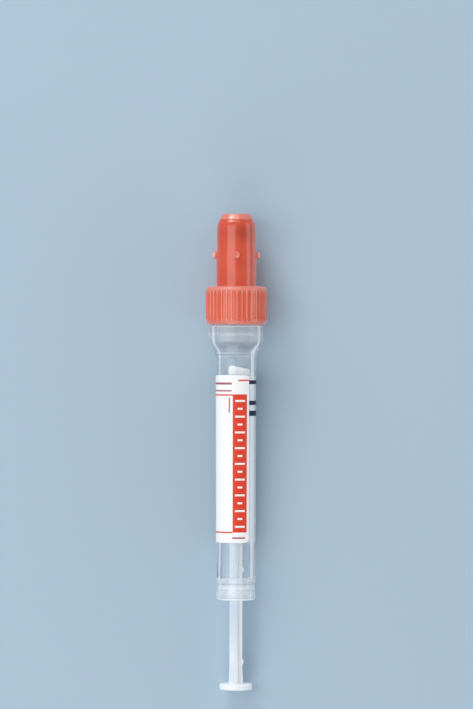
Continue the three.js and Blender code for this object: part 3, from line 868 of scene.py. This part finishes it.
def milkyPlastic(place):
    look = milkyLook
    across, _, height = parts(place)
    clouds = place.noise(*look["clouds"])
    # Paler in clouds, and painted light on the disc, which faces the lamps.
    disc = height.fall(*look["discTop"], discBottom)
    pale = clouds.rise(*look["cloudSteps"]) * look["cloudPaleness"] | disc * look["discLight"]
    # Painted shade on the rod's left and middle, and painted light on its right.
    shaded = across.fall(*look["shadedSide"]) * height.band(look["shadedLength"])
    paintedLightSide = across.rise(*look["paintedLightSide"]) * (1 - disc)
    base = shaded.blend(pale.blend(look["body"], look["paleAndLit"]), look["shaded"])
    return place.plastic(
        Base_Color=paintedLightSide.blend(base, look["paleAndLit"]),
        Roughness=clouds * look["cloudRoughness"] + look["roughness"], IOR=look["ior"],
        Subsurface_Weight=look["scatter"], Subsurface_Radius=look["scatterReach"],
        Subsurface_Scale=look["scatterDepth"] * mm,
        Normal=(place.noise(*look["grain"]) * look["grainDepth"]).bump(look["grainBump"]),
    )


printLook = {  # sizes run up from the label's bottom edge, and degrees round from the front
    "paper": colour(251, 251, 250), "shade": colour(232, 232, 228), "red": colour(226, 62, 34),
    "plain": colour(176, 96, 100), "glow": (0.7, 0.7, 0.7, 1),
    "roughness": 0.42, "redRoughness": -0.08, "fibreRoughness": 0.1, "ior": 1.45,
    "clouds": (6, 3), "cloudShade": 0.06, "fibres": (0.12, 4), "fibreDepth": 0.008, "fibreBump": 0.6,
    "soft": 0.02, "softTurn": 0.3, "printedSide": (0.05, 0.07),
    "bandLeft": -9.7, "bandRight": 31.9, "bandBottom": 2.19, "bandTop": 31.26,
    "rule": 0.3, "ruleEnd": (0, 0.1),
    "fillLine": 34.2, "fillLeft": (5.2, 5.6), "fillRight": (60, 61),
    "tickStart": 3.4, "tickStep": 1.655, "ticks": 17, "tickHalf": 0.2, "tickReach": 0.5,
    "longTick": (-3, 25.5), "shortTick": (4, 18), "pairStep": 0.01,
    "headings": [(33.3, 33.75), (31.85, 32.15)], "headingEnd": (-13, -12.6),
    "fieldTurn": (-21.4, -17.6), "fieldHeight": (27.4, 30.6),
    "dateTurn": (-11, 27), "dateHeight": (0.85, 1.2),
}


def labelPaper(place):
    look = printLook
    angle, radius, height = polar(place)
    up = height - labelBottom

    def lengthwise(low, high):
        return up.within(low, high, look["soft"])

    def around(left, right):
        return angle.within(left, right, look["softTurn"])

    half = look["rule"] / 2
    band = around(look["bandLeft"], look["bandRight"]) * lengthwise(look["bandBottom"], look["bandTop"])
    rules = lengthwise(look["bandTop"] - look["rule"], look["bandTop"])
    rules = rules | lengthwise(look["bandBottom"] - half, look["bandBottom"] + half)
    rules = rules * angle.fall(*look["ruleEnd"], look["bandLeft"])
    fill = lengthwise(look["fillLine"] - half, look["fillLine"] + half)
    fill = fill * angle.rise(*look["fillLeft"]) * angle.fall(*look["fillRight"])

    # A row of ticks, every other one long
    step = look["tickStep"]
    fromFirst = up - (look["tickStart"] - step / 2)
    tick = (fromFirst % step).within(step / 2 - look["tickHalf"], step / 2 + look["tickHalf"], look["soft"])
    long = (fromFirst % (2 * step)).fall(-look["pairStep"], look["pairStep"], step)
    last = look["tickStart"] + step * (look["ticks"] - 1)
    tick = tick * (around(*look["longTick"]) * long | around(*look["shortTick"]))
    tick = tick * lengthwise(look["tickStart"] - look["tickReach"], last + look["tickReach"])
    red = (band | rules | fill) * (1 - tick)

    upper, lower = [lengthwise(*line) for line in look["headings"]]
    heading = (upper | lower) * angle.fall(*look["headingEnd"])
    field = around(*look["fieldTurn"]) * lengthwise(*look["fieldHeight"])
    date = around(*look["dateTurn"]) * lengthwise(*look["dateHeight"])
    printed = (radius - barrelRadius(height)).rise(*look["printedSide"])  # the outer side only
    fibres = place.noise(*look["fibres"])
    base = (place.noise(*look["clouds"]) * look["cloudShade"]).blend(look["paper"], look["shade"])
    base = (red * printed).blend(base, look["red"])
    paper = place.plastic(
        Base_Color=((heading | field | date) * printed).blend(base, look["plain"]),
        Roughness=red * look["redRoughness"] + fibres * look["fibreRoughness"] + look["roughness"],
        IOR=look["ior"], Normal=(fibres * look["fibreDepth"]).bump(look["fibreBump"]),
    )
    return lampsPass(place, paper, look["glow"])


inkLook = {
    "ink": colour(8, 32, 60), "thin": colour(26, 50, 80), "cover": (0.3, 3), "coverSteps": (0.3, 0.8),
    "thinness": 0.3, "roughness": 0.38, "thinRoughness": 0.2, "specular": 0.25, "depth": 0.01, "bump": 0.4,
}


def inkPrint(place):
    look = inkLook
    thin = place.noise(*look["cover"]).rise(*look["coverSteps"]) * look["thinness"]
    return place.plastic(
        Base_Color=thin.blend(look["ink"], look["thin"]),
        Roughness=thin * look["thinRoughness"] + look["roughness"], Specular_IOR_Level=look["specular"],
        Normal=(thin * look["depth"]).bump(look["bump"]),
    )


rubberLook = {
    "dark": colour(112, 114, 117), "pale": colour(138, 140, 143), "grain": (0.2, 4),
    "roughness": 0.5, "grainRoughness": 0.2, "depth": 0.03, "bump": 0.6,
}


def membraneRubber(place):
    look = rubberLook
    grain = place.noise(*look["grain"])
    return place.plastic(
        Base_Color=grain.blend(look["dark"], look["pale"]),
        Roughness=grain * look["grainRoughness"] + look["roughness"],
        Normal=(grain * look["depth"]).bump(look["bump"]),
    )


additiveLook = {
    "body": colour(240, 241, 240), "pale": colour(254, 254, 252), "grain": (0.18, 5), "clumps": (1.1, 3),
    "clumpSteps": (0.3, 0.7), "roughness": 0.62, "grainRoughness": 0.15,
    "scatter": 0.4, "scatterReach": (1, 1, 1), "scatterDepth": 1,
    "grainDepth": 0.012, "clumpDepth": 0.03, "bump": 0.6,
}


def dryAdditive(place):
    look = additiveLook
    grain = place.noise(*look["grain"])
    clumps = place.noise(*look["clumps"])
    return place.plastic(
        Base_Color=clumps.rise(*look["clumpSteps"]).blend(look["body"], look["pale"]),
        Roughness=grain * look["grainRoughness"] + look["roughness"], Subsurface_Weight=look["scatter"],
        Subsurface_Radius=look["scatterReach"], Subsurface_Scale=look["scatterDepth"] * mm,
        Normal=(grain * look["grainDepth"] + clumps * look["clumpDepth"]).bump(look["bump"]),
    )


print("materials")
looks = {
    recipe.__name__: material(recipe.__name__, recipe)
    for recipe in (clearPlastic, capPlastic, milkyPlastic, labelPaper, inkPrint, membraneRubber, dryAdditive)
}

print("pieces")
finish(makeTube(), looks["clearPlastic"], "tube", "clear_plastic", "tube_barrel")
finish(makeCap(), looks["capPlastic"], "cap", "cap_plastic", "screw_cap")
finish(makeMembrane(), looks["membraneRubber"], "stopper", "membrane_rubber", "membrane")
finish(makePiston(), looks["milkyPlastic"], "piston", "milky_plastic", "piston_head")
finish(makeRod(), looks["milkyPlastic"], "rod", "milky_plastic", "piston_rod")
finish(makeAdditive(), looks["dryAdditive"], "piston", "dry_additive", "additive_plug")
label = rolledSheet("paperLabel", labelBottom, labelTop, labelShape)
finish(label, looks["labelPaper"], "tube", "label_paper", "label")
for index, (low, high) in enumerate(markHeights):
    mark = rolledSheet("fillMark" + str(index + 1), low, high, markShape)
    finish(mark, looks["inkPrint"], "tube", "label_paper")

# Stage: floor, lamps and camera, placed by the tube's axis
print("stage")
front = Vector((0, -axis.z, axis.y))
right = Vector((1, 0, 0))
stageShape = {
    "floor": colour(174, 196, 212), "floorSize": 4000, "floorRoughness": 0.85, "floorSpecular": 0.2,
    "world": colour(232, 235, 240), "worldLight": 0.46, "worldSeen": 0.8,
    "aim": 51.84, "away": 730, "shift": 0.05, "lean": 0.09, "view": 149.95, "clip": 10,
}


def floorPaint(place):
    return place.plastic(
        Base_Color=stageShape["floor"], Roughness=stageShape["floorRoughness"],
        Specular_IOR_Level=stageShape["floorSpecular"],
    )


floor = primitive("floor", "plane", size=stageShape["floorSize"] * mm)
deselectAll()
floor.data.materials.append(material("floorPaint", floorPaint))

world = bpy.data.worlds.new("studio")
bpy.context.scene.world = world
world.use_nodes = True
world.node_tree.nodes.clear()
sky = Wire(world.node_tree)
light, seen = [
    sky.node("ShaderNodeBackground", None, {"Color": stageShape["world"], "Strength": stageShape[level]})
    for level in ("worldLight", "worldSeen")
]
byCamera, byGloss, byGlass = [
    sky.node("ShaderNodeLightPath", output="Is " + ray + " Ray")
    for ray in ("Camera", "Glossy", "Transmission")
]
shown = sky.node("ShaderNodeMixShader", None, {0: byCamera | byGloss | byGlass, 1: light, 2: seen})
sky.node("ShaderNodeOutputWorld", None, {"Surface": shown})

lampShapes = {  # turn to the right of the camera, rise towards the cap, distance, width, length, brightness
    "keySoftbox": (-30, 5, 900, 800, 520, 1.8),
    "topSoftbox": (-46, 55, 900, 200, 330, 9),
    "topReflector": (-34, 62, 960, 1000, 340, 2.8),
    "lowSoftbox": (-26, -58, 600, 500, 400, 1.8),
    "rightReflector": (74, 0, 760, 330, 1000, 1.4),
}
target = foot + axis * stageShape["aim"] * mm
for name, (turn, rise, away, width, length, brightness) in lampShapes.items():
    lamp = bpy.data.lights.new(name, "AREA")
    lamp.shape = "RECTANGLE"
    lamp.size = width * mm
    lamp.size_y = length * mm
    lamp.energy = brightness * math.pi * width * length * mm * mm
    holder = bpy.data.objects.new(name, lamp)
    bpy.context.scene.collection.objects.link(holder)
    turn, rise = math.radians(turn), math.radians(rise)
    level = right * math.sin(turn) + front * math.cos(turn)
    towards = level * math.cos(rise) + axis * math.sin(rise)
    across = axis.cross(towards).normalized()
    facing = Matrix((across, towards.cross(across), towards)).transposed().to_4x4()
    holder.matrix_world = Matrix.Translation(target + towards * away * mm) @ facing

camera = bpy.data.objects.new("camera", bpy.data.cameras.new("camera"))
bpy.context.scene.collection.objects.link(camera)
camera.data.angle = 2 * math.atan(stageShape["view"] / 2 / stageShape["away"])
camera.data.clip_start = stageShape["clip"] * mm
camera.location = target + front * stageShape["away"] * mm + right * stageShape["shift"] * mm
camera.rotation_mode = "ZYX"
camera.rotation_euler = (tilt, 0, math.radians(stageShape["lean"]))
bpy.context.scene.camera = camera
bpy.context.scene.view_settings.view_transform = "Standard"
